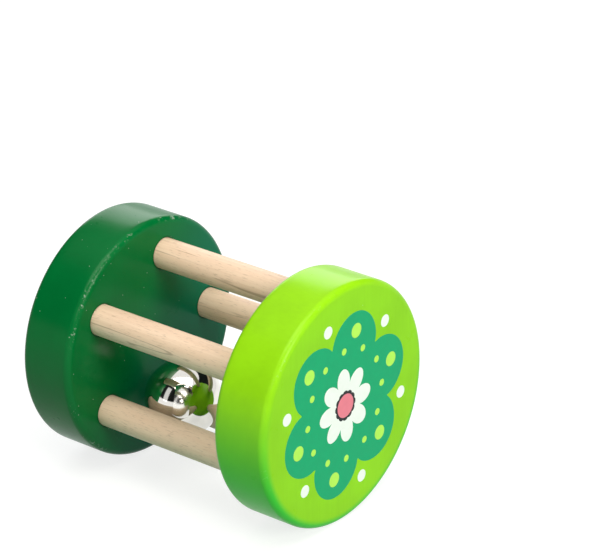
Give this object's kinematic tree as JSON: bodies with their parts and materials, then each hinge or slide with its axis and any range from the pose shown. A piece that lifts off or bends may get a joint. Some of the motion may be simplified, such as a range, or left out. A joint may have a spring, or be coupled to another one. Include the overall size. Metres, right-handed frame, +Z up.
{
  "type": "cage bell rattle",
  "caption": "Wooden baby rattle: two thick painted discs joined by a ring of natural dowels, with a loose nickel jingle bell shut inside the cage.",
  "frame": {"origin": "on the floor under the middle of the cage, the rattle lying on the rims of its discs", "axes": "+Y along the cage from the front disc to the back disc, +Z up, +X to the right seen from the front disc"},
  "size_m": [0.063, 0.077, 0.063],
  "materials": {
    "front_paint": "glossy lime green paint on beech",
    "back_paint": "glossy dark green paint on beech",
    "beech": "sanded and oiled beech",
    "nickel": "bright nickel plate on steel",
    "pellet_steel": "plain steel shot"
  },
  "bodies": {
    "cage": {"front_disc": "front_paint", "back_disc": "back_paint", "dowel_1": "beech", "dowel_2": "beech", "dowel_3": "beech", "dowel_4": "beech", "dowel_5": "beech"},
    "bell": {"bell_upper_shell": "nickel", "bell_lower_shell": "nickel", "bell_hanger": "nickel"},
    "pellet": {"bell_pellet": "pellet_steel"}
  },
  "joints": [
    {"name": "bell_travel", "type": "slide", "parent": "cage", "child": "bell", "axis": [0, 1, 0], "range_m": [-0.0231, 0.0024]},
    {"name": "pellet_roll", "type": "hinge", "parent": "bell", "child": "pellet", "pos_m": [-0.00299, 0.01042, 0.01952], "axis": [0, 1, 0], "continuous": true}
  ]
}
